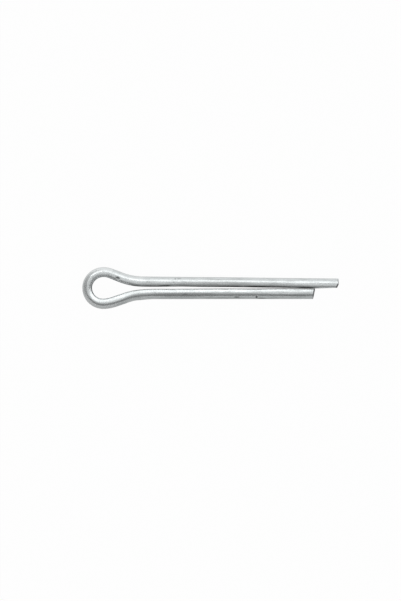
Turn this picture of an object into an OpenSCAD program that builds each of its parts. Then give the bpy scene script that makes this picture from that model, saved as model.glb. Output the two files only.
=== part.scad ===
// Cotter pin: one length of half-round steel wire, folded flat to flat round an eye.
// The pin lies flat. The shank starts at the origin and its legs run along +X, with the long leg on +Y.
// The wire is drawn as it is bent: each bend and each straight run carries the rest of the wire on its end.

/* [Wire] */
// Thickness of the half-round wire, from its flat to the crown of its round side
wire_t = 1.37; // [0.9:0.01:2]
// Radius of the wire's two long edges, between the flat and the round side
edge_r = 0.17; // [0.1:0.01:0.3]
// Number of facets that round each long edge
edge_facets = 3; // [2:1:6]

/* [Eye] */
// Radius of the eye's opening
eye_r = 1.47; // [1:0.01:4]
// Inner radius of the shoulder, where the eye opens into the long leg's flank
long_shoulder_r = 1.9; // [1.5:0.1:8]
// Inner radius of the shoulder, where the eye opens into the short leg's flank
short_shoulder_r = 4; // [1.5:0.1:8]

/* [Flanks and neck] */
// Length of the straight flank that closes from the eye towards the long leg
long_flank_l = 1.1; // [0.2:0.05:6]
// Length of the straight flank that closes from the eye towards the short leg
short_flank_l = 1.35; // [0.2:0.05:6]
// Radius of the neck bend into the long leg, on the wire's round side
long_neck_r = 7.7; // [2:0.1:12]
// Radius of the neck bend into the short leg, on the wire's round side
short_neck_r = 8.3; // [2:0.1:12]

/* [Legs] */
// Length of the shank, from the end of the neck to the end of the short leg
shank_l = 22.55; // [10:0.05:60]
// Length by which the long leg reaches past the short leg
prong_l = 3.2; // [1.6:0.05:6]
// Gap between the flats of the legs at the neck
neck_gap = 0.3; // [0.1:0.01:0.4]
// Gap between the flats of the legs at the end of the short leg
tip_gap = 0.05; // [0.03:0.01:0.09]

/* [Ends] */
// Angle of the short leg's slanting cut, which leaves its flat the longest
cut_slant_angle = 9; // [0:1:40]
// Angle by which the end cuts and the bevel lean back, from the bottom of the wire to its top
cut_lean_angle = 5; // [0:1:20]
// Length of the bevel that leads the long leg into its hole, along the flat
bevel_l = 0.36; // [0.1:0.01:0.8]
// Angle of that bevel from a square end
bevel_angle = 26; // [15:1:60]
// Angle at which the long leg's flat thins past the short leg
prong_taper_angle = 2.5; // [0.5:0.1:5]

/* [Hidden] */
$fn = 96;

// The two sides of the pin, as the sign of their Y
LONG_SIDE = 1;
SHORT_SIDE = -1;

// A bend turns the wire round its flat, or round its round side
ROUND_FLAT = 1;
ROUND_CROWN = -1;

// How many bends lie between the eye and each flank, and between the eye and each leg
FLANK_BENDS = 1;
LEG_BENDS = 2;

// The second half of each bend laps inside the first by an angle, and is thinner all round by
// a hair, so that the wire is one solid with its joints hidden in its bends
bend_lap_angle = 3;
lap_inset = 0.002;

// Each leg leans in, so that the gap narrows along the shank
leg_lean = atan((neck_gap - tip_gap) / 2 / shank_l);

// Half the gap at mid shank is the flat's distance from the centre of the round side,
// so the round sides of both legs lie on one circle there
flat_offset = (neck_gap + tip_gap) / 4;
round_r = wire_t + flat_offset;

// Centre of the circle that rounds one long edge, and the angle at which it meets the round side
edge_x = flat_offset + edge_r;
edge_y = sqrt(pow(round_r - edge_r, 2) - pow(edge_x, 2));
edge_end = atan2(edge_y, edge_x);

// A neck bend's radius to the flat, which is the far side of the wire
function neck_ring(neck_r) = neck_r + wire_t;

// The angle at which a flank closes, so that shoulder, flank and neck bend bring the flat from
// the top of the eye to half the gap
function flank_angle(shoulder_r, flank_l, neck_r) =
    let (reach = shoulder_r + neck_ring(neck_r),
         leg_y = neck_gap / 2 - LEG_BENDS * lap_inset,
         level = shoulder_r - eye_r + leg_y + neck_ring(neck_r) * cos(leg_lean))
    acos(level / norm([reach, flank_l])) - atan2(flank_l, reach);

// How far from the eye's centre a leg starts
function leg_start(shoulder_r, flank_l, neck_r) =
    let (angle = flank_angle(shoulder_r, flank_l, neck_r))
    shoulder_r * sin(angle) + flank_l * cos(angle) + neck_ring(neck_r) * (sin(angle) - sin(leg_lean));

long_leg_start = leg_start(long_shoulder_r, long_flank_l, long_neck_r);
short_leg_start = leg_start(short_shoulder_r, short_flank_l, short_neck_r);

// The shank starts where both legs have left their neck bends
eye_to_shank = max(long_leg_start, short_leg_start);
long_leg_l = (eye_to_shank + shank_l + prong_l - long_leg_start) / cos(leg_lean);
short_leg_l = (eye_to_shank + shank_l - short_leg_start) / cos(leg_lean);

// Size of the blocks that cut the ends
cutter = 4 * (wire_t + prong_l);

// Point i on one long edge of radius r, from the flat (0) to the round side (edge_facets)
function edge_point(i, r) =
    let (angle = 180 - (180 - edge_end) * i / edge_facets)
    [edge_x + r * cos(angle), edge_y + r * sin(angle)];

// The last facet runs on, so that it crosses the round side cleanly
function edge_run_out(r) = 3 * edge_point(edge_facets, r) - 2 * edge_point(edge_facets - 1, r);

// Section of the wire after a number of bends: its flat lies on the Y axis, its round side bulges to +X
module wire_section(bends) {
    inset = bends * lap_inset;
    r = edge_r - inset;
    upper = [for (i = [0 : edge_facets - 1]) edge_point(i, r), edge_run_out(r)];
    lower = [for (i = [edge_facets : -1 : 0]) [upper[i][0], -upper[i][1]]];
    far = 2 * round_r;
    translate([-flat_offset, 0])
        intersection() {
            circle(r = round_r - inset);
            polygon(concat(upper, [[far, far], [far, -far]], lower));
        }
}

// Part of a ring of wire about the origin, with its flat at the given radius. The flat is nearest
// the ring's centre, or farthest from it
module ring_part(way, bends, flat_r, start, angle) {
    rotate_extrude(start = start, angle = angle)
        translate([flat_r, 0]) mirror([way == ROUND_CROWN ? 1 : 0, 0]) wire_section(bends);
}

// The wire's first or second bend after the eye, with its radius on the inside of the bend
module bend(side, way, bends, radius, angle) {
    turn = -side * way;
    joint = -90 * turn;
    half = turn * (angle / 2 + bend_lap_angle);
    flat_r = way == ROUND_FLAT ? radius : radius + wire_t;
    translate([0, turn * flat_r, 0]) {
        ring_part(way, bends - 1, flat_r, joint, half);
        rotate(turn * angle) {
            ring_part(way, bends, flat_r, joint, -half);
            translate([0, -turn * flat_r, 0]) children();
        }
    }
}

// A straight run of wire along X, with its flat on the XZ plane
module straight(side, bends, length) {
    rotate([90, 0, 90]) linear_extrude(length) mirror([side == SHORT_SIDE ? 1 : 0, 0]) wire_section(bends);
}

module run(side, bends, length) {
    straight(side, bends, length);
    translate([length, 0, 0]) children();
}

// All that lies beyond a plane across the wire, turned from square in the plane of the pin
module beyond(turn, lean) {
    rotate([0, -lean, turn]) translate([0, -cutter / 2, -cutter / 2]) cube(cutter);
}

// All that lies below the long leg's flat, tilted into the wire
module below_flat(turn) {
    rotate(turn) translate([-cutter / 2, -cutter, -cutter / 2]) cube(cutter);
}

module short_leg() {
    difference() {
        straight(SHORT_SIDE, LEG_BENDS, short_leg_l);
        translate([short_leg_l, 0, -round_r]) beyond(-cut_slant_angle, cut_lean_angle);
    }
}

module long_leg() {
    difference() {
        straight(LONG_SIDE, LEG_BENDS, long_leg_l);
        translate([long_leg_l, 0, -round_r]) beyond(0, cut_lean_angle);
        translate([long_leg_l - bevel_l, 0, -round_r]) beyond(-bevel_angle, cut_lean_angle);
        translate([long_leg_l - prong_l, 0, 0]) below_flat(prong_taper_angle);
    }
}

// From the top of the eye to the neck, with the leg as its child
module flank_and_neck(side, shoulder_r, flank_l, neck_r) {
    angle = flank_angle(shoulder_r, flank_l, neck_r);
    translate([0, side * eye_r, 0])
        bend(side, ROUND_FLAT, FLANK_BENDS, shoulder_r, angle)
            run(side, FLANK_BENDS, flank_l)
                bend(side, ROUND_CROWN, LEG_BENDS, neck_r, angle - leg_lean)
                    children();
}

module eye() {
    ring_part(ROUND_FLAT, 0, eye_r, 90, 180);
}

module cotter_pin() {
    color([0.78, 0.8, 0.8])
        translate([-eye_to_shank, 0, 0]) {
            eye();
            flank_and_neck(LONG_SIDE, long_shoulder_r, long_flank_l, long_neck_r) long_leg();
            flank_and_neck(SHORT_SIDE, short_shoulder_r, short_flank_l, short_neck_r) short_leg();
        }
}

cotter_pin();
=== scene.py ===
"""Split pin of half-round wire: the plated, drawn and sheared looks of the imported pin, and a plain studio."""

import math

import bmesh
import bpy
from bpy.props import FloatProperty, FloatVectorProperty, IntProperty, PointerProperty
from mathutils import Matrix, Vector


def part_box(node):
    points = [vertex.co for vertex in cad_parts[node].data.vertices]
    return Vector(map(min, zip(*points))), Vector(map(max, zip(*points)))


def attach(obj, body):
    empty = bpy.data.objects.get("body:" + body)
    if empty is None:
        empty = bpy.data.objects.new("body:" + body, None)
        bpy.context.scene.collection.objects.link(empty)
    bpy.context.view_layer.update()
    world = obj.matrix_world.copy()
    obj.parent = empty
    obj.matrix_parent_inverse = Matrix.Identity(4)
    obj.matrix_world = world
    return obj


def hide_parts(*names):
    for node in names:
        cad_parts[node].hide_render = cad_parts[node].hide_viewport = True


bl_info = {
    "name": "Split Pin",
    "version": (1, 0, 0),
    "blender": (4, 5, 0),
    "location": "3D View > Sidebar > Split Pin",
    "description": "Draws half-round wire, folds it into a split pin, shears and plates it",
    "category": "Add Mesh",
}

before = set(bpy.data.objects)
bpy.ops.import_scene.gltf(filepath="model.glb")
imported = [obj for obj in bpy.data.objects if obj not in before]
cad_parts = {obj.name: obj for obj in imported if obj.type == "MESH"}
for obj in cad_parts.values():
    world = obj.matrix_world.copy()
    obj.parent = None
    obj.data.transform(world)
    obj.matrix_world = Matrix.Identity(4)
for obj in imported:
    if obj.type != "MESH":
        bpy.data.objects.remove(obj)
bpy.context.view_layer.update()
LOW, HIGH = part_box("cotter_pin")

MM = 0.001
PIN = "cotter_pin_wire"

# Names of the layers that the wire's mesh carries
LAY = "lay"
# Darkness of the stains and of the painted shade
STAIN_AND_SHADE = "stain_and_shade"
SHEARED = "sheared"
BENT = "bent"
ROUND = "round"

SPARE = 0.5 * MM  # extra wire at both ends, which the shears take off
TOUCHING = 1e-6  # vertices of the section that are closer than this are one
ON_PLANE = 1e-7  # what is closer to a plane or to a cut than this lies on it


# ---------------------------------------------------------------- settings


def length_setting(name, description, default):
    """A length that a user can change, with its default in millimetres."""
    return FloatProperty(name=name, description=description, default=default * MM, unit="LENGTH")


def angle_setting(name, description, default):
    """An angle that a user can change, with its default in degrees."""
    return FloatProperty(name=name, description=description, default=math.radians(default), subtype="ANGLE")


def share_setting(name, description, default):
    """A share that a user can change, from 0 to 1."""
    return FloatProperty(name=name, description=description, default=default, min=0, max=1, subtype="FACTOR")


def colour_setting(name, description, default):
    """A colour that a user can change."""
    return FloatVectorProperty(name=name, description=description, default=default, size=3, subtype="COLOR")


class WireSizes(bpy.types.PropertyGroup):
    """The half-round wire, and how finely its surface is drawn."""

    thickness: length_setting("Thickness", "From the flat to the crown of the round side", 1.37)
    edge_bevel: length_setting("Edge bevel", "Width of the bevel between the flat and the round side", 0.13)
    edge_round: length_setting("Edge rounding", "How much of each corner of the bevel is rolled off", 0.02)
    ring_step: length_setting("Ring step", "Distance between rings along the wire", 0.08)
    crown_steps: IntProperty(
        name="Crown steps", description="Faces round the crown, an even number", default=48, min=12
    )
    flat_cuts: IntProperty(
        name="Flat cuts", description="Cuts across the flat, an odd number", default=21, min=1
    )
    corner_steps: IntProperty(
        name="Corner steps", description="Faces round each corner of the bevel", default=3, min=1
    )


class FoldSizes(bpy.types.PropertyGroup):
    """The bends that fold the wire into a pin, measured to its flat or its crown as each bend is pressed."""

    eye_radius: length_setting("Eye radius", "Radius of the eye's opening", 1.47)
    long_shoulder: length_setting("Long shoulder", "Inner radius from the eye into the long side", 1.9)
    short_shoulder: length_setting("Short shoulder", "Inner radius from the eye into the short side", 4.0)
    long_flank: length_setting("Long flank", "Straight flank on the long side", 1.1)
    short_flank: length_setting("Short flank", "Straight flank on the short side", 1.35)
    long_neck: length_setting("Long neck", "Radius of the neck's crown on the long side", 7.7)
    short_neck: length_setting("Short neck", "Radius of the neck's crown on the short side", 8.3)
    neck_gap: length_setting("Neck gap", "Gap between the flats at the neck", 0.3)
    tip_gap: length_setting("Tip gap", "Gap between the flats at the short leg's end", 0.05)
    roll: angle_setting("Roll", "How far the short side of the eye rolls the wire inwards", 3)
    roll_start: length_setting("Roll start", "How far each way from the back of the eye the roll grows", 0.8)
    roll_fade: length_setting("Roll fade", "Where the roll starts to fade, along the short side", 3.0)
    roll_end: length_setting("Roll end", "Where the roll has faded, along the short side", 6.5)


class EndSizes(bpy.types.PropertyGroup):
    """How the two ends are sheared."""

    prong: length_setting("Prong", "Length by which the long leg reaches past the short one", 3.2)
    slant: angle_setting("Slant", "Slant of the short leg's cut", 9)
    lean: angle_setting("Lean", "Angle by which the cuts lean back at the top", 5)
    bevel: length_setting("Bevel", "Length of the long leg's lead-in, along its flat", 0.3)
    bevel_angle: angle_setting("Bevel angle", "Angle of the lead-in from a square end", 26)
    taper: angle_setting("Taper", "Angle at which the prong's flat thins", 2.5)
    drawn_in: length_setting("Drawn in", "How far the shear draws in the long leg's crown", 0.12)
    drawn_length: length_setting("Drawn length", "Length of the crown that is drawn in", 0.4)


class PlatingFinish(bpy.types.PropertyGroup):
    """Colours and surface of the zinc plating."""

    zinc: colour_setting("Zinc", "Clean plating", (0.695, 0.727, 0.731))
    dull: colour_setting("Dull zinc", "Plating that is rubbed or has dulled", (0.54, 0.568, 0.568))
    # Painted sheen: the lighter colour given to the outside of the bends
    painted_sheen_colour: colour_setting(
        "Burnished zinc", "Plating that the bending tool has rubbed bright", (0.86, 0.88, 0.88)
    )
    # Near-black cut colour: bare sheared steel, darkened further as painted shade on the cut faces
    steel: colour_setting("Sheared steel", "Thinly plated steel on the sheared ends", (0.09, 0.09, 0.095))
    # Also the colour of the painted shade along the legs' inner edges, on the short leg's crown and in the long
    # leg's darker bands
    grime_and_shade: colour_setting("Grime", "Dirt that sits in nicks and against the other leg", (0.035, 0.037, 0.035))
    edge_tint: colour_setting("Edge tint", "Reflection at a grazing angle", (0.75, 0.75, 0.75))
    # Share of the painted sheen on the outside of the bends
    painted_sheen_share: share_setting("Burnish", "How far the outside of the bends is rubbed bright", 0.45)
    # How far each cut takes the cut colour, which is partly painted shade
    short_cut: share_setting("Short cut", "How bare the steel is on the short leg's cut", 0.8)
    long_cut: share_setting("Long cut", "How bare the steel is on the long leg's cut", 0.2)
    bevel_cut: share_setting("Bevel cut", "How bare the steel is on the long leg's lead-in", 1.0)
    roughness: share_setting("Roughness", "Roughness of the smoothest plating", 0.20)
    grain_roughness: share_setting("Grain roughness", "Roughness that the grain adds", 0.12)
    dull_roughness: share_setting("Dull roughness", "Roughness that dull plating adds", 0.05)
    cut_roughness: share_setting("Cut roughness", "Roughness that a cut adds", 0.65)
    relief: length_setting("Relief", "Depth of the texture", 0.009)
    line_relief: share_setting("Line relief", "The die lines' share of the relief", 0.35)
    grain_relief: share_setting("Grain relief", "The grain's share of the relief", 0.25)
    ripple_relief: share_setting("Ripple relief", "The ripples' share of the relief on straight wire", 0.3)
    bend_relief: share_setting("Bend relief", "What a bend adds to the ripples' share", 0.25)


class StudioSettings(bpy.types.PropertyGroup):
    """Floor, lamps and camera."""

    lens: FloatProperty(name="Lens", description="Camera lens in millimetres", default=300.0)
    view_length: length_setting("View length", "What the view's long side takes in", 80.86)
    aim_x: length_setting("Aim X", "The camera's place along the pin", 7.08)
    aim_y: length_setting("Aim Y", "The camera's place across the pin", -1.67)
    roll: angle_setting("Roll", "The camera's turn about its line of sight", 0.28)
    surround: share_setting("Surround", "Brightness of the dim room round the lamps", 0.18)
    paper: share_setting("Paper", "How white the floor's paper is under the lamps", 0.7)
    floor_glow: share_setting("Floor glow", "Share of the floor's white that no shadow dims", 0.975)
    # The reflected paper's shade is painted by place, not cast by the lamps
    shade_depth: length_setting("Shade depth", "How far from the pin the reflected paper is in full shade", 3)
    far_shade: length_setting("Far shade", "How far towards -Y the reflected paper is faintly lit again", 12)
    far_glow: share_setting("Far glow", "Brightness of the reflected paper that is lit again", 0.3)


# ---------------------------------------------------------------- helpers


def settings(context):
    """The five groups of settings."""
    scene = context.scene
    return scene.pin_wire, scene.pin_fold, scene.pin_ends, scene.pin_plating, scene.pin_studio


def only(obj):
    """Makes obj the one selected and active object."""
    bpy.ops.object.select_all(action="DESELECT")
    obj.select_set(True)
    bpy.context.view_layer.objects.active = obj


def apply_modifier(obj, modifier):
    """Applies a modifier to the one object it is on."""
    only(obj)
    bpy.ops.object.modifier_apply(modifier=modifier.name)


def select_where(data, elements, keep):
    """In edit mode, selects just the elements for which keep is true."""
    bpy.ops.mesh.select_all(action="DESELECT")
    for element in elements:
        if keep(element):
            element.select_set(True)
    bmesh.update_edit_mesh(data)


def smooth_step(low, high, value):
    """0 below low, 1 above high, with a soft change between."""
    part = min(1.0, max(0.0, (value - low) / (high - low)))
    return part * part * (3 - 2 * part)


# ---------------------------------------------------------------- the wire's section


class Section:
    """The half-round section. Its flat lies on Y = 0 and its crown points to -Y.

    Its round side is centred half the gap at mid shank beyond the flat, so that both legs lie on one circle.
    A bevel at 45 degrees joins it to the flat on either side.
    """

    def __init__(self, wire, fold):
        self.offset = (fold.neck_gap + fold.tip_gap) / 4
        self.round_r = wire.thickness + self.offset
        self.bevel = wire.edge_bevel
        depth = self.offset + self.bevel
        self.crown_z = math.sqrt(self.round_r ** 2 - depth ** 2)
        self.crown_angle = math.atan2(self.crown_z, depth)
        self.flat_z = self.crown_z - self.bevel


# ---------------------------------------------------------------- the fold's path


class Path:
    """The line that the wire's flat follows, with its middle at the back of the eye.

    Each side is a list of lengths and curvatures, walked from the back of the eye to the leg's end.
    """

    def __init__(self, wire, fold, ends):
        shank = HIGH.x - ends.prong
        self.lean = math.atan((fold.neck_gap - fold.tip_gap) / 2 / shank)
        self.fold = fold
        self.wire = wire
        long_start, long_angle = self.leg_start(fold.long_shoulder, fold.long_flank, fold.long_neck)
        short_start, short_angle = self.leg_start(fold.short_shoulder, fold.short_flank, fold.short_neck)
        self.eye_x = -max(long_start, short_start)
        long_leg = (HIGH.x - self.eye_x - long_start) / math.cos(self.lean)
        short_leg = (shank - self.eye_x - short_start) / math.cos(self.lean)
        self.long_side = self.pieces(
            -1, fold.long_shoulder, fold.long_flank, fold.long_neck, long_angle, long_leg
        )
        self.short_side = self.pieces(
            1, fold.short_shoulder, fold.short_flank, fold.short_neck, short_angle, short_leg
        )
        self.long_length = sum(length for length, _ in self.long_side)
        self.short_length = sum(length for length, _ in self.short_side)
        self.length = self.long_length + self.short_length

    def leg_start(self, shoulder, flank, neck):
        """How far from the eye's centre a leg starts, and the angle at which its flank closes."""
        ring = neck + self.wire.thickness
        reach = shoulder + ring
        level = shoulder - self.fold.eye_radius + self.fold.neck_gap / 2 + ring * math.cos(self.lean)
        angle = math.acos(level / math.hypot(reach, flank)) - math.atan2(flank, reach)
        neck_bend = ring * (math.sin(angle) - math.sin(self.lean))
        return shoulder * math.sin(angle) + flank * math.cos(angle) + neck_bend, angle

    def pieces(self, turn, shoulder, flank, neck, angle, leg):
        """Lengths and curvatures from the back of the eye to a leg's end, turning left where turn is 1."""
        eye = self.fold.eye_radius
        ring = neck + self.wire.thickness
        return [
            (eye * math.pi / 2, turn / eye),
            (shoulder * angle, turn / shoulder),
            (flank, 0.0),
            (ring * (angle - self.lean), -turn / ring),
            (leg + SPARE, 0.0),
        ]

    def point(self, station):
        """The point of the path at a station, below 0 on the long side and above 0 on the short side."""
        pieces = self.long_side if station < 0 else self.short_side
        heading = math.copysign(math.pi / 2, -station)
        left = abs(station)
        x = self.eye_x - self.fold.eye_radius
        y = 0.0
        for length, curve in pieces:
            step = min(left, length)
            if curve:
                x += (math.sin(heading + curve * step) - math.sin(heading)) / curve
                y -= (math.cos(heading + curve * step) - math.cos(heading)) / curve
                heading += curve * step
            else:
                x += step * math.cos(heading)
                y += step * math.sin(heading)
            left -= step
        return Vector((x, y, 0.0))

    def curvature(self, station):
        """How sharply the path bends at a station, without its sign."""
        left = abs(station)
        for length, curve in self.long_side if station < 0 else self.short_side:
            if left <= length:
                return abs(curve)
            left -= length
        return 0.0


# ---------------------------------------------------------------- wear


class Mark:
    """A dent, a stained patch or a patch of painted shade: its place from the back of the eye and from the
    flat, its size, depth and darkness.

    Length is along the wire and width is round it. Places along the long side are below 0. All marks are
    on the top of the wire.
    """

    core = 0.35  # share of a mark's size that has its full weight

    def __init__(self, along, across, length, width, depth=0.0, stain_and_shade=0.0):
        self.along = along * MM
        self.across = across * MM
        self.length = length * MM
        self.width = width * MM
        self.depth = depth * MM
        self.stain_and_shade = stain_and_shade

    def weight(self, station, point, section):
        """1 in the middle of the mark, falling softly to 0 at its edge."""
        on_round = math.sqrt(section.round_r ** 2 - (self.across + section.offset) ** 2)
        on_bevel = section.flat_z + self.across
        off = math.hypot(point.y + self.across, point.z - min(on_round, on_bevel))
        far = math.hypot((station - self.along) / self.length, off / self.width)
        return 1 - smooth_step(self.core, 1.0, far)


class Kink:
    """A slight fault in the fold: its place from the back of the eye, its reach, and its moves outwards.

    The flat and the crown are each moved by their own length, and what lies between by a share of both.
    """

    def __init__(self, along, reach, flat, crown):
        self.along = along * MM
        self.reach = reach * MM
        self.flat = flat * MM
        self.crown = crown * MM

    def move(self, station, depth):
        """How far it moves the wire at a station, for a depth of 0 at the flat and 1 at the crown."""
        share = 1 - smooth_step(0.0, self.reach, abs(station - self.along))
        return share * (self.flat * (1 - depth) + self.crown * depth)


KINKS = [
    # Behind the eye, where the bend thins the wire
    Kink(1.1, 3.4, flat=0.11, crown=0.0),
    # Round the eye and the short neck
    Kink(-2.4, 2.4, flat=-0.043, crown=-0.085),
    Kink(1.1, 2.6, flat=0.025, crown=0.05),
    Kink(4.9, 1.8, flat=0.015, crown=0.03),
    Kink(7.6, 1.7, flat=0.037, crown=0.075),
    # Where the legs were pressed together
    Kink(-13.3, 4.2, flat=0.07, crown=0.0),
    Kink(-19.5, 6.0, flat=0.07, crown=0.02),
    Kink(-26.0, 6.0, flat=0.055, crown=0.0),
    Kink(18.5, 7.0, flat=-0.04, crown=0.0),
    Kink(27.0, 7.0, flat=-0.07, crown=0.0),
]

DENTS = [
    Mark(-4.22, 0.44, 0.42, 0.24, depth=0.05, stain_and_shade=0.6),
    Mark(-12.15, 1.10, 0.12, 0.26, depth=0.012, stain_and_shade=0.5),
    Mark(-12.66, 1.12, 0.40, 0.17, depth=0.008, stain_and_shade=0.35),
    Mark(-11.98, 0.58, 0.30, 0.14, depth=0.02, stain_and_shade=0.35),
    Mark(-13.40, 0.56, 0.35, 0.12, depth=0.015, stain_and_shade=0.2),
    Mark(23.06, 1.12, 0.18, 0.45, depth=0.04, stain_and_shade=0.9),
    Mark(23.75, 1.31, 0.90, 0.30, depth=0.02, stain_and_shade=0.7),
    Mark(20.40, 1.12, 0.50, 0.26, depth=0.02, stain_and_shade=0.6),
    Mark(13.44, 0.75, 0.45, 0.24, depth=0.01, stain_and_shade=0.3),
    Mark(-33.98, 1.14, 0.15, 0.20, depth=0.01, stain_and_shade=0.4),
]

SCRATCHES = [
    Mark(6.6, 1.02, 2.2, 0.14, depth=0.006, stain_and_shade=0.2),
    Mark(13.4, 1.21, 3.6, 0.17, depth=0.006, stain_and_shade=0.3),
    Mark(18.6, 1.23, 3.9, 0.18, depth=0.006, stain_and_shade=0.24),
    Mark(28.2, 0.93, 2.6, 0.12, depth=0.005, stain_and_shade=0.15),
]

WORN_FLATS = [
    Mark(3.2, 0.45, 3.4, 0.36, depth=0.012),
    Mark(13.3, 0.80, 4.8, 0.36, depth=0.016),
    Mark(28.2, 0.50, 6.0, 0.36, depth=0.016),
]

# Patches of painted shade that darken the colour where the reflections are darker
PAINTED_SHADE_BANDS = [
    # Painted shade behind the eye
    Mark(0.0, 1.06, 1.1, 0.17, stain_and_shade=0.3),
    # Painted shade in bands along the long leg
    Mark(-17.5, 0.45, 8.5, 0.52, stain_and_shade=0.22),
    Mark(-24.5, 0.42, 5.5, 0.45, stain_and_shade=0.2),
    Mark(-20.0, 1.05, 5.0, 0.13, stain_and_shade=0.2),
]

# Lines of painted shade: they darken the colour where the legs shade each other
PAINTED_SHADE_LINES = [
    # Painted shade along the long leg's inner edge, where the legs lie close
    Mark(-6.9, 0.07, 1.6, 0.17, stain_and_shade=0.8),
    Mark(-8.8, 0.07, 3.4, 0.17, stain_and_shade=0.8),
    Mark(-10.7, 0.10, 1.5, 0.20, stain_and_shade=0.9),
    Mark(-14.5, 0.07, 5.5, 0.16, stain_and_shade=0.75),
    Mark(-19.5, 0.07, 5.0, 0.18, stain_and_shade=0.95),
    Mark(-23.4, 0.07, 4.4, 0.21, stain_and_shade=1.0),
    Mark(-26.3, 0.07, 4.5, 0.18, stain_and_shade=1.0),
    Mark(-29.6, 0.07, 2.6, 0.20, stain_and_shade=1.0),
    # Painted shade along the short leg's inner edge, where the legs lie close, and along its crown
    Mark(24.5, 0.03, 7.0, 0.15, stain_and_shade=0.8),
    Mark(25.0, 1.34, 3.2, 0.14, stain_and_shade=0.35),
]

MARKS = DENTS + SCRATCHES + WORN_FLATS + PAINTED_SHADE_BANDS + PAINTED_SHADE_LINES

# Soft unevenness of the drawn surface: its name, its size along and across the wire, and its height
UNEVENNESS = [
    ("draw_waves", 1.6 * MM, 0.5 * MM, 0.006 * MM),
    ("handling_marks", 0.9 * MM, 0.3 * MM, 0.003 * MM),
]


# ---------------------------------------------------------------- operators


class SPLITPIN_OT_draw_wire(bpy.types.Operator):
    """Draw the straight half-round wire: its section by extrude and spin, then its length in even rings"""

    bl_idname = "splitpin.draw_wire"
    bl_label = "Draw wire"

    def execute(self, context):
        wire, fold, ends, _, _ = settings(context)
        section = Section(wire, fold)
        path = Path(wire, fold, ends)
        pin = self.draw_section(wire, section)
        self.round_corners(pin, wire, section)
        self.cut_flat(pin, wire, section)
        self.measure_round(pin)
        self.draw_out(pin, wire, path)
        self.lay_out(pin, path)
        self.note_bends(pin, path)
        return {"FINISHED"}

    def draw_section(self, wire, section):
        """Draws the section's outline: along the flat, over a bevel, round the crown and over a bevel.

        The plane is merged to one vertex first, and every stroke starts where the last one ended.
        """
        bpy.ops.object.select_all(action="DESELECT")
        bpy.ops.mesh.primitive_plane_add(size=wire.thickness, enter_editmode=True)
        pin = bpy.context.object
        pin.name = pin.data.name = PIN
        bpy.ops.mesh.merge(type="CENTER")
        bpy.ops.transform.translate(value=(0, 0, -section.flat_z))
        self.stroke(0, 2 * section.flat_z)
        self.stroke(-section.bevel, section.bevel)
        bpy.ops.mesh.spin(
            steps=wire.crown_steps, angle=-2 * section.crown_angle,
            center=(0, section.offset, 0), axis=(1, 0, 0)
        )
        self.stroke(section.bevel, section.bevel)
        bpy.ops.mesh.select_all(action="SELECT")
        bpy.ops.mesh.remove_doubles(threshold=TOUCHING)
        return pin

    def stroke(self, y, z):
        """Draws the section's outline on from the selected vertex by one straight stroke."""
        bpy.ops.mesh.extrude_region_move(TRANSFORM_OT_translate={"value": (0, y, z)})

    def round_corners(self, pin, wire, section):
        """Rolls off the four corners of the two bevels."""
        mesh = bmesh.from_edit_mesh(pin.data)
        select_where(pin.data, mesh.verts, lambda vertex: self.is_corner(vertex.co, section))
        bpy.ops.mesh.bevel(affect="VERTICES", offset=wire.edge_round, segments=wire.corner_steps)

    def is_corner(self, point, section):
        """Whether a point is at one of the four corners of the two bevels."""
        places = ((0.0, section.flat_z), (-section.bevel, section.crown_z))
        return any(math.hypot(point.y - y, abs(point.z) - z) < TOUCHING for y, z in places)

    def cut_flat(self, pin, wire, section):
        """Cuts across the flat, which is the one edge longer than half its width."""
        mesh = bmesh.from_edit_mesh(pin.data)
        bpy.ops.mesh.select_mode(type="EDGE")
        select_where(pin.data, mesh.edges, lambda edge: edge.calc_length() > section.flat_z)
        bpy.ops.mesh.subdivide(number_cuts=wire.flat_cuts)

    def measure_round(self, pin):
        """Writes each vertex's distance round the section from the middle of the crown."""
        mesh = bmesh.from_edit_mesh(pin.data)
        if any(len(vertex.link_edges) != 2 for vertex in mesh.verts):
            raise RuntimeError("The wire's section isn't closed")
        distance = mesh.verts.layers.float.new(ROUND)
        start = min(mesh.verts, key=lambda vertex: vertex.co.y)
        for edge in start.link_edges:
            here = start
            while abs(here.co.z) > ON_PLANE or here is start:
                there = edge.other_vert(here)
                there[distance] = here[distance] + edge.calc_length()
                edge = next(link for link in there.link_edges if link is not edge)
                here = there
        bmesh.update_edit_mesh(pin.data)

    def draw_out(self, pin, wire, path):
        """Draws the section out to the wire's length, in even rings."""
        bpy.ops.mesh.select_all(action="SELECT")
        bpy.ops.mesh.extrude_region_move(TRANSFORM_OT_translate={"value": (path.length, 0, 0)})
        mesh = bmesh.from_edit_mesh(pin.data)
        select_where(
            pin.data, mesh.edges, lambda edge: abs(edge.verts[0].co.x - edge.verts[1].co.x) > SPARE
        )
        bpy.ops.mesh.subdivide_edgering(
            number_cuts=round(path.length / wire.ring_step), interpolation="LINEAR", smoothness=0
        )
        bpy.ops.mesh.select_all(action="SELECT")
        bpy.ops.mesh.normals_make_consistent(inside=False)
        bpy.ops.object.mode_set(mode="OBJECT")
        bpy.ops.object.shade_smooth()

    def lay_out(self, pin, path):
        """Writes the lay in millimetres: U along the wire from the eye's back, V round it from the crown."""
        lay = pin.data.uv_layers.new(name=LAY)
        distance = pin.data.attributes[ROUND].data
        for face in pin.data.polygons:
            side = math.copysign(1.0, face.center.z)
            for loop in face.loop_indices:
                vertex = pin.data.loops[loop].vertex_index
                along = pin.data.vertices[vertex].co.x - path.long_length
                lay.data[loop].uv = (along / MM, side * distance[vertex].value / MM)

    def note_bends(self, pin, path):
        """Writes how far each ring is bent, as a share of the eye's own bend."""
        bent = pin.data.attributes.new(BENT, "FLOAT", "POINT")
        tightest = path.curvature(0.0)
        for vertex in pin.data.vertices:
            bent.data[vertex.index].value = path.curvature(vertex.co.x - path.long_length) / tightest


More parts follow.
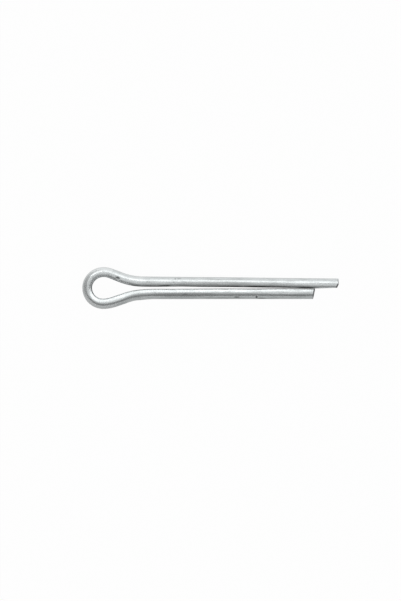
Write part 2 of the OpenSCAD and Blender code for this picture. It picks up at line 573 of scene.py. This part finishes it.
class SPLITPIN_OT_wear_wire(bpy.types.Operator):
    """Dent the wire, note its stains and its painted shade, and roughen it along its draw"""

    bl_idname = "splitpin.wear_wire"
    bl_label = "Wear wire"

    def execute(self, context):
        wire, fold, ends, _, _ = settings(context)
        pin = bpy.data.objects[PIN]
        path = Path(wire, fold, ends)
        self.mark(pin, path, Section(wire, fold))
        for unevenness in UNEVENNESS:
            self.roughen(pin, *unevenness)
        return {"FINISHED"}

    def mark(self, pin, path, section):
        """Presses each dent with a weighted Displace modifier, and writes the stains and the painted shade as
        an attribute.
        """
        deepest = max(mark.depth for mark in MARKS)
        dents = pin.vertex_groups.new(name="dents")
        stains_and_shade = []
        for vertex in pin.data.vertices:
            station = vertex.co.x - path.long_length
            near = [mark for mark in MARKS if abs(station - mark.along) < mark.length]
            weights = [mark.weight(station, vertex.co, section) for mark in near]
            deep = max([weight * mark.depth for weight, mark in zip(weights, near)], default=0.0)
            stains_and_shade.append(max([weight * mark.stain_and_shade for weight, mark in zip(weights, near)], default=0.0))
            if deep:
                dents.add([vertex.index], deep / deepest, "REPLACE")
        stain_and_shade = pin.data.attributes.new(STAIN_AND_SHADE, "FLOAT", "POINT")
        stain_and_shade.data.foreach_set("value", stains_and_shade)
        press = pin.modifiers.new("dents", "DISPLACE")
        press.strength = -deepest
        press.mid_level = 0.0
        press.vertex_group = dents.name
        apply_modifier(pin, press)

    def roughen(self, pin, name, along, across, height):
        """Displaces the surface by soft clouds of a size along the wire and a size across it."""
        clouds = bpy.data.textures.new(name, "CLOUDS")
        clouds.noise_scale = 1.0
        clouds.noise_depth = 1
        bpy.ops.object.select_all(action="DESELECT")
        bpy.ops.object.empty_add()
        lay = bpy.context.object
        lay.scale = (along, across, across)
        bpy.context.view_layer.update()
        rough = pin.modifiers.new(name, "DISPLACE")
        rough.texture = clouds
        rough.texture_coords = "OBJECT"
        rough.texture_coords_object = lay
        rough.strength = height
        apply_modifier(pin, rough)
        bpy.data.objects.remove(lay)
        bpy.data.textures.remove(clouds)


class SPLITPIN_OT_fold_pin(bpy.types.Operator):
    """Thin the prong, press the fold's faults into the straight wire, then fold it along the pin's path"""

    bl_idname = "splitpin.fold_pin"
    bl_label = "Fold pin"

    def execute(self, context):
        wire, fold, ends, _, _ = settings(context)
        pin = bpy.data.objects[PIN]
        path = Path(wire, fold, ends)
        self.press(pin, path, wire, fold, ends)
        self.bend(pin, path, wire)
        return {"FINISHED"}

    def press(self, pin, path, wire, fold, ends):
        """Thins the prong's flat, and gives the straight wire the faults that folding leaves in it."""
        prong_start = SPARE + ends.prong
        for vertex in pin.data.vertices:
            station = vertex.co.x - path.long_length
            past = prong_start - vertex.co.x
            if past > 0:
                vertex.co.y = min(vertex.co.y, -past * math.tan(ends.taper))
            depth = -vertex.co.y / wire.thickness
            vertex.co.y -= sum(kink.move(station, depth) for kink in KINKS)
            vertex.co = self.roll(station, fold) @ vertex.co

    def bend(self, pin, path, wire):
        """Bends the wire along the path by a Curve modifier."""
        steps = round(path.length / wire.ring_step)
        curve = bpy.data.curves.new("fold_path", "CURVE")
        curve.dimensions = "3D"
        curve.twist_mode = "Z_UP"
        spline = curve.splines.new("POLY")
        spline.points.add(steps)
        for i, point in enumerate(spline.points):
            place = path.point(path.length * i / steps - path.long_length)
            point.co = (*place, 1.0)
        route = bpy.data.objects.new("fold_path", curve)
        bpy.context.scene.collection.objects.link(route)
        bend = pin.modifiers.new("fold", "CURVE")
        bend.object = route
        bend.deform_axis = "POS_X"
        apply_modifier(pin, bend)
        bpy.data.objects.remove(route)
        bpy.data.curves.remove(curve)

    def roll(self, station, fold):
        """The turn that rolls the wire at a station, on the short side of the eye."""
        grown = smooth_step(-fold.roll_start, fold.roll_start, station)
        faded = smooth_step(fold.roll_fade, fold.roll_end, station)
        return Matrix.Rotation(-grown * (1 - faded) * fold.roll, 3, "X")


class SPLITPIN_OT_shear_ends(bpy.types.Operator):
    """Shear both legs to length, bevel the long leg's tip and draw in its crown"""

    bl_idname = "splitpin.shear_ends"
    bl_label = "Shear ends"

    reach = 4 * MM  # how far back from a cut its leg is selected
    corners = 8  # a filled cut has more corners than this, and the wire's own faces have fewer
    facing = 0.999  # a filled cut's normal is at least this near to the plane's, as a cosine
    smoothed = math.radians(25)  # edges sharper than this stay sharp

    def execute(self, context):
        _, fold, ends, finish, _ = settings(context)
        pin = bpy.data.objects[PIN]
        only(pin)
        pin.data.attributes.new(SHEARED, "FLOAT", "FACE")
        bpy.ops.object.mode_set(mode="EDIT")
        bpy.ops.mesh.select_mode(type="FACE")
        flat = fold.tip_gap / 2
        short_end = Vector((HIGH.x - ends.prong, -flat, LOW.z))
        long_end = Vector((HIGH.x, flat, LOW.z))
        bevel_start = Vector((HIGH.x - ends.bevel, flat, LOW.z))
        self.shear(pin, short_end, -ends.slant, ends.lean, finish.short_cut)
        self.shear(pin, long_end, 0.0, ends.lean, finish.long_cut)
        self.shear(pin, bevel_start, -ends.bevel_angle, ends.lean, finish.bevel_cut)
        self.close(pin)
        self.draw_in_crown(pin, ends)
        bpy.ops.object.mode_set(mode="OBJECT")
        bpy.ops.object.shade_smooth_by_angle(angle=self.smoothed)
        return {"FINISHED"}

    def shear(self, pin, place, turn, lean, bare):
        """Cuts one leg by a plane through a place on its flat, and fills the cut.

        The plane is turned from square and leans back at the top. A leg is what lies on the place's own side
        of the gap, or strays across the middle by less than half of the place's distance from it.
        """
        normal = Matrix.Rotation(turn, 3, "Z") @ Matrix.Rotation(-lean, 3, "Y") @ Vector((1, 0, 0))
        side = math.copysign(1.0, place.y)
        stray = abs(place.y) / 2
        mesh = bmesh.from_edit_mesh(pin.data)
        select_where(
            pin.data, mesh.faces,
            lambda face: self.is_on_leg(face.calc_center_median(), place.x - self.reach, side, stray)
        )
        bpy.ops.mesh.bisect(
            plane_co=place, plane_no=normal, use_fill=True, clear_outer=True, threshold=ON_PLANE
        )
        mesh = bmesh.from_edit_mesh(pin.data)
        sheared = mesh.faces.layers.float[SHEARED]
        for face in mesh.faces:
            if self.is_cut(face, normal):
                face[sheared] = bare
        bmesh.update_edit_mesh(pin.data)

    def is_on_leg(self, point, start, side, stray):
        """Whether a point is past the start, on one side of the gap."""
        return point.x > start and side * point.y > -stray

    def is_cut(self, face, normal):
        """Whether a face is the filled cut that faces along the normal."""
        return len(face.verts) > self.corners and abs(face.normal.dot(normal)) > self.facing

    def close(self, pin):
        """Joins the cuts to the wire, and makes sure that no hole is left."""
        bpy.ops.mesh.select_all(action="SELECT")
        bpy.ops.mesh.remove_doubles(threshold=ON_PLANE)
        bpy.ops.mesh.normals_make_consistent(inside=False)
        if not all(edge.is_manifold for edge in bmesh.from_edit_mesh(pin.data).edges):
            raise RuntimeError("A leg's end stayed open")

    def draw_in_crown(self, pin, ends):
        """Rolls over the crown at the long leg's end, where the shear drew it in."""
        bpy.ops.mesh.select_mode(type="VERT")
        mesh = bmesh.from_edit_mesh(pin.data)
        height = max(vertex.co.y for vertex in mesh.verts if vertex.co.x > HIGH.x - ends.bevel)
        crown = Vector((HIGH.x, height, 0.0))
        select_where(pin.data, mesh.verts, lambda vertex: (vertex.co - crown).length < ends.drawn_in)
        bpy.ops.transform.translate(
            value=(0, -ends.drawn_in, 0), use_proportional_edit=True, proportional_edit_falloff="SMOOTH",
            proportional_size=ends.drawn_length
        )


# ---------------------------------------------------------------- finish


# Grains per millimetre along the wire and round it, and the detail, of each texture of the plating
TEXTURES = {
    "grain": (5.0, 6.0, 3.0),
    "mottle": (0.5, 2.2, 2.0),
    "die_lines": (0.25, 9.0, 2.0),
    "ripples": (4.5, 0.7, 2.0),
}

# Where the masks of the plating start, and where they are full
DULL_FROM, DULL_FULL = 0.85, 1.3  # mottle and grain, added
STRETCHED_FROM, STRETCHED_FULL = 0.0, 0.3  # bend, as a share of the eye's own
INSIDE_FROM, INSIDE_FULL = 0.9, 1.6  # millimetres round the wire from the crown


class NodeSheet:
    """Places nodes on a node tree and links them."""

    def __init__(self, tree):
        self.tree = tree

    def node(self, kind, **values):
        """Adds a node. Values are its own properties, or names of its input sockets."""
        made = self.tree.nodes.new(kind)
        for name, value in values.items():
            if hasattr(made, name):
                setattr(made, name, value)
            else:
                made.inputs[name].default_value = value
        return made

    def link(self, output, socket):
        """Links an output to a socket."""
        self.tree.links.new(output, socket)

    def feed(self, value, socket):
        """Links a socket's value to another socket, or sets it where the value is a number or a colour."""
        if isinstance(value, bpy.types.NodeSocket):
            self.link(value, socket)
        else:
            socket.default_value = value

    def math(self, operation, *values, clamp=False):
        """Adds a Math node and returns its output."""
        made = self.node("ShaderNodeMath", operation=operation, use_clamp=clamp)
        for value, socket in zip(values, made.inputs):
            self.feed(value, socket)
        return made.outputs[0]

    def mix(self, share, low, high):
        """Adds a colour Mix node, whose colours are its inputs 6 and 7, and returns its colour output."""
        made = self.node("ShaderNodeMix", data_type="RGBA")
        self.feed(share, made.inputs[0])
        self.feed(low, made.inputs[6])
        self.feed(high, made.inputs[7])
        return made.outputs[2]

    def ramp(self, value, low, high, way="SMOOTHSTEP"):
        """Maps a value from low..high to 0..1."""
        made = self.node("ShaderNodeMapRange", interpolation_type=way)
        for given, socket in zip((value, low, high), made.inputs):
            self.feed(given, socket)
        return made.outputs[0]

    def axes(self, vector):
        """Splits a vector and returns its outputs X, Y and Z."""
        made = self.node("ShaderNodeSeparateXYZ")
        self.link(vector, made.inputs[0])
        return made.outputs

    def attribute(self, name):
        """The value of an attribute of the mesh."""
        return self.node("ShaderNodeAttribute", attribute_name=name).outputs["Fac"]


def opaque(colour):
    """A colour with full alpha."""
    return (*colour, 1.0)


def lay_noise_group():
    """A group that puts out noise over the wire's lay, by its grains per millimetre along and round it."""
    group = bpy.data.node_groups.new("Lay noise", "ShaderNodeTree")
    sockets = group.interface
    sockets.new_socket("Lay", in_out="INPUT", socket_type="NodeSocketVector")
    sockets.new_socket("Grains per mm", in_out="INPUT", socket_type="NodeSocketVector")
    sockets.new_socket("Detail", in_out="INPUT", socket_type="NodeSocketFloat")
    sockets.new_socket("Value", in_out="OUTPUT", socket_type="NodeSocketFloat")
    sheet = NodeSheet(group)
    entry = sheet.node("NodeGroupInput").outputs
    leave = sheet.node("NodeGroupOutput").inputs
    grains = sheet.node("ShaderNodeVectorMath", operation="MULTIPLY")
    noise = sheet.node("ShaderNodeTexNoise", Scale=1.0, Roughness=0.55)
    sheet.link(entry["Lay"], grains.inputs[0])
    sheet.link(entry["Grains per mm"], grains.inputs[1])
    sheet.link(grains.outputs[0], noise.inputs["Vector"])
    sheet.link(entry["Detail"], noise.inputs["Detail"])
    sheet.link(noise.outputs[0], leave["Value"])
    return group


def lay_noise(sheet, group, lay, name):
    """Places the noise group in a material for one of the textures, and returns its value."""
    along, around, detail = TEXTURES[name]
    made = sheet.node("ShaderNodeGroup", node_tree=group, label=name)
    sheet.link(lay, made.inputs["Lay"])
    made.inputs["Grains per mm"].default_value = (along, around, 1.0)
    made.inputs["Detail"].default_value = detail
    return made.outputs["Value"]


def plating_material(finish):
    """Satin zinc plating on drawn wire."""
    material = bpy.data.materials.new("zinc_plated_steel")
    material.use_nodes = True
    sheet = NodeSheet(material.node_tree)
    shader = material.node_tree.nodes["Principled BSDF"].inputs
    shader["Metallic"].default_value = 1.0
    shader["Specular Tint"].default_value = opaque(finish.edge_tint)
    lay = sheet.node("ShaderNodeUVMap", uv_map=LAY).outputs[0]
    sheared = sheet.attribute(SHEARED)
    stretched = sheet.ramp(sheet.attribute(BENT), STRETCHED_FROM, STRETCHED_FULL)
    group = lay_noise_group()
    grain, mottle, die_lines, ripples = (lay_noise(sheet, group, lay, name) for name in TEXTURES)
    dulled = sheet.ramp(sheet.math("ADD", mottle, grain), DULL_FROM, DULL_FULL)
    sheet.link(plating_colour(sheet, finish, lay, dulled, stretched, sheared), shader["Base Color"])
    sheet.link(plating_roughness(sheet, finish, grain, dulled, sheared), shader["Roughness"])
    bump = sheet.node("ShaderNodeBump", Strength=1.0, Distance=finish.relief)
    sheet.link(plating_relief(sheet, finish, die_lines, grain, ripples, stretched), bump.inputs["Height"])
    sheet.link(bump.outputs[0], shader["Normal"])
    return material


def plating_colour(sheet, finish, lay, dulled, stretched, sheared):
    """Zinc that is dull in patches, with a painted sheen on the outside of the bends, cut faces darkened partly
    as painted shade, and stains, dirt and painted shade over it.
    """
    # Painted sheen: the outside of the bends is made lighter
    from_crown = sheet.math("ABSOLUTE", sheet.axes(lay)["Y"])
    outside = sheet.math("SUBTRACT", 1.0, sheet.ramp(from_crown, INSIDE_FROM, INSIDE_FULL))
    rubbed = sheet.math("MULTIPLY", stretched, outside)
    colour = sheet.mix(dulled, opaque(finish.zinc), opaque(finish.dull))
    colour = sheet.mix(sheet.math("MULTIPLY", rubbed, finish.painted_sheen_share), colour, opaque(finish.painted_sheen_colour))
    # Cut faces take the near-black cut colour: bare steel and painted shade
    colour = sheet.mix(sheared, colour, opaque(finish.steel))
    # Darker by the marks: stains and dirt, and painted shade along the inner edges and in bands
    return sheet.mix(sheet.attribute(STAIN_AND_SHADE), colour, opaque(finish.grime_and_shade))


def plating_roughness(sheet, finish, grain, dulled, sheared):
    """Roughness that grows with the grain, in dull patches and on the cuts."""
    rough = sheet.math("MULTIPLY_ADD", grain, finish.grain_roughness, finish.roughness)
    rough = sheet.math("MULTIPLY_ADD", dulled, finish.dull_roughness, rough)
    return sheet.math("MULTIPLY_ADD", sheared, finish.cut_roughness, rough, clamp=True)


def plating_relief(sheet, finish, die_lines, grain, ripples, stretched):
    """Height of the texture: lines along the draw, grain, and ripples that are strongest in the bends."""
    height = sheet.math("MULTIPLY", die_lines, finish.line_relief)
    height = sheet.math("MULTIPLY_ADD", grain, finish.grain_relief, height)
    ripple_share = sheet.math("MULTIPLY_ADD", stretched, finish.bend_relief, finish.ripple_relief)
    return sheet.math("MULTIPLY_ADD", ripples, ripple_share, height)


class SPLITPIN_OT_plate_pin(bpy.types.Operator):
    """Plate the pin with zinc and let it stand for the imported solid"""

    bl_idname = "splitpin.plate_pin"
    bl_label = "Plate pin"

    def execute(self, context):
        finish = context.scene.pin_plating
        pin = bpy.data.objects[PIN]
        pin.data.materials.clear()
        pin.data.materials.append(plating_material(finish))
        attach(pin, "root")
        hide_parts("cotter_pin")
        return {"FINISHED"}


# ---------------------------------------------------------------- studio


# In metres
LAMP_DISTANCE = 1.0
FLOOR_SIZE = 6.0
CLIP_START = 0.01

# Each lamp's azimuth from +X towards +Y, its zenith angle, the width and the height that it fills, all in
# degrees, and its radiance
LAMPS = {
    "overhead": (-90, 22.7, 80, 38.4, 1.5),
    "near_edge": (-90, 49, 90, 14, 0.5),
    "near_fill": (-90, 62, 80, 13, 0.28),
    "low_key": (90, 79, 90, 22, 1.5),
    "back_fill": (90, 54, 70, 24, 0.65),
    "top_fill": (108, 35, 90, 16, 0.32),
    "left_fill": (174, 58, 68, 34, 0.6),
    "left_low": (140, 77, 40, 16, 0.5),
}


def floor_material(studio):
    """White paper that glows a little by itself, so that the pin's shadow stays faint.

    Reflections see its full glow on the pin's +Y side. Towards -X and -Y a painted shade, set by place rather
    than cast by the lamps, dims what they see, and farther off towards -Y it is faintly lit again.
    """
    material = bpy.data.materials.new("white_paper")
    material.use_nodes = True
    material.node_tree.nodes.clear()
    sheet = NodeSheet(material.node_tree)
    paper = sheet.node("ShaderNodeBsdfDiffuse", Color=opaque([studio.paper] * 3))
    glow = sheet.node("ShaderNodeEmission", Strength=1.0)
    rays = sheet.node("ShaderNodeLightPath").outputs
    reflected = sheet.math("MULTIPLY", rays["Is Glossy Ray"], reflected_glow(sheet, studio))
    seen = sheet.math("MULTIPLY", rays["Is Camera Ray"], studio.floor_glow)
    mix = sheet.node("ShaderNodeMixShader")
    leave = sheet.node("ShaderNodeOutputMaterial")
    sheet.link(sheet.math("MAXIMUM", seen, reflected), mix.inputs[0])
    sheet.link(paper.outputs[0], mix.inputs[1])
    sheet.link(glow.outputs[0], mix.inputs[2])
    sheet.link(mix.outputs[0], leave.inputs["Surface"])
    return material


def reflected_glow(sheet, studio):
    """How much of the paper's glow the pin reflects, from place to place: painted shade towards -X and -Y of
    the pin.
    """
    place = sheet.axes(sheet.node("ShaderNodeTexCoord").outputs["Object"])
    lit_x = sheet.ramp(place["X"], LOW.x - studio.shade_depth, LOW.x, "LINEAR")
    lit_y = sheet.ramp(place["Y"], LOW.y - studio.shade_depth, HIGH.y, "LINEAR")
    near = sheet.ramp(place["Y"], LOW.y - studio.far_shade, LOW.y - studio.shade_depth)
    far_glow = sheet.math("MULTIPLY", sheet.math("SUBTRACT", 1.0, near), studio.far_glow)
    return sheet.math("MAXIMUM", sheet.math("MULTIPLY", lit_x, lit_y), far_glow)


def softbox(name, azimuth, zenith, width, height, radiance):
    """Adds an area lamp, given by the direction it hangs in and the angles it fills, in degrees."""
    turn = Matrix.Rotation(math.radians(azimuth), 3, "Z") @ Matrix.Rotation(math.radians(zenith), 3, "Y")
    toward = turn @ Vector((0, 0, 1))
    lamp = bpy.data.lights.new(name, "AREA")
    lamp.shape = "RECTANGLE"
    lamp.size = 2 * LAMP_DISTANCE * math.tan(math.radians(width / 2))
    lamp.size_y = 2 * LAMP_DISTANCE * math.tan(math.radians(height / 2))
    lamp.energy = radiance * math.pi * lamp.size * lamp.size_y
    hung = bpy.data.objects.new(name, lamp)
    bpy.context.scene.collection.objects.link(hung)
    hung.location = toward * LAMP_DISTANCE
    hung.rotation_mode = "QUATERNION"
    hung.rotation_quaternion = toward.to_track_quat("Z", "Y")
    hung.visible_camera = False


class SPLITPIN_OT_set_stage(bpy.types.Operator):
    """Lay the white floor, hang the lamps and set the camera"""

    bl_idname = "splitpin.set_stage"
    bl_label = "Set stage"

    def execute(self, context):
        studio = context.scene.pin_studio
        self.lay_floor(context, studio)
        self.dim_room(context.scene, studio)
        for name, lamp in LAMPS.items():
            softbox(name, *lamp)
        self.set_camera(context.scene, studio)
        context.scene.view_settings.view_transform = "Standard"
        return {"FINISHED"}

    def lay_floor(self, context, studio):
        """Lays white paper under the pin."""
        bpy.ops.object.select_all(action="DESELECT")
        bpy.ops.mesh.primitive_plane_add(size=FLOOR_SIZE, location=(0, 0, LOW.z))
        floor = context.object
        floor.name = "floor"
        floor.data.materials.append(floor_material(studio))

    def dim_room(self, scene, studio):
        """Surrounds the stage with a dim white room."""
        scene.world = bpy.data.worlds.new("studio")
        scene.world.use_nodes = True
        room = scene.world.node_tree.nodes["Background"].inputs
        room["Color"].default_value = (1.0, 1.0, 1.0, 1.0)
        room["Strength"].default_value = studio.surround

    def set_camera(self, scene, studio):
        """Hangs the camera straight above the pin, turned a little about its line of sight."""
        camera = bpy.data.cameras.new("camera")
        camera.lens = studio.lens
        camera.clip_start = CLIP_START
        eye = bpy.data.objects.new("camera", camera)
        scene.collection.objects.link(eye)
        height = studio.view_length * studio.lens / camera.sensor_width
        eye.location = (studio.aim_x, studio.aim_y, height)
        eye.rotation_euler.z = studio.roll
        scene.camera = eye


class SPLITPIN_PT_panel(bpy.types.Panel):
    """The steps that make the pin, in order"""

    bl_idname = "SPLITPIN_PT_panel"
    bl_label = "Split Pin"
    bl_space_type = "VIEW_3D"
    bl_region_type = "UI"
    bl_category = "Split Pin"

    def draw(self, context):
        for operator in OPERATORS:
            self.layout.operator(operator.bl_idname)
        for group in settings(context):
            box = self.layout.box()
            for name in group.bl_rna.properties.keys():
                if name not in ("rna_type", "name"):
                    box.prop(group, name)


OPERATORS = (
    SPLITPIN_OT_draw_wire,
    SPLITPIN_OT_wear_wire,
    SPLITPIN_OT_fold_pin,
    SPLITPIN_OT_shear_ends,
    SPLITPIN_OT_plate_pin,
    SPLITPIN_OT_set_stage,
)
GROUPS = {
    "pin_wire": WireSizes,
    "pin_fold": FoldSizes,
    "pin_ends": EndSizes,
    "pin_plating": PlatingFinish,
    "pin_studio": StudioSettings,
}


def register():
    """Registers the settings, the operators and the panel."""
    for name, group in GROUPS.items():
        bpy.utils.register_class(group)
        setattr(bpy.types.Scene, name, PointerProperty(type=group))
    for operator in OPERATORS:
        bpy.utils.register_class(operator)
    bpy.utils.register_class(SPLITPIN_PT_panel)


def unregister():
    """Takes away all that register added."""
    bpy.utils.unregister_class(SPLITPIN_PT_panel)
    for operator in reversed(OPERATORS):
        bpy.utils.unregister_class(operator)
    for name, group in GROUPS.items():
        delattr(bpy.types.Scene, name)
        bpy.utils.unregister_class(group)


def main():
    register()
    bpy.ops.splitpin.draw_wire()
    bpy.ops.splitpin.wear_wire()
    bpy.ops.splitpin.fold_pin()
    bpy.ops.splitpin.shear_ends()
    bpy.ops.splitpin.plate_pin()
    bpy.ops.splitpin.set_stage()


if __name__ == "__main__":
    main()
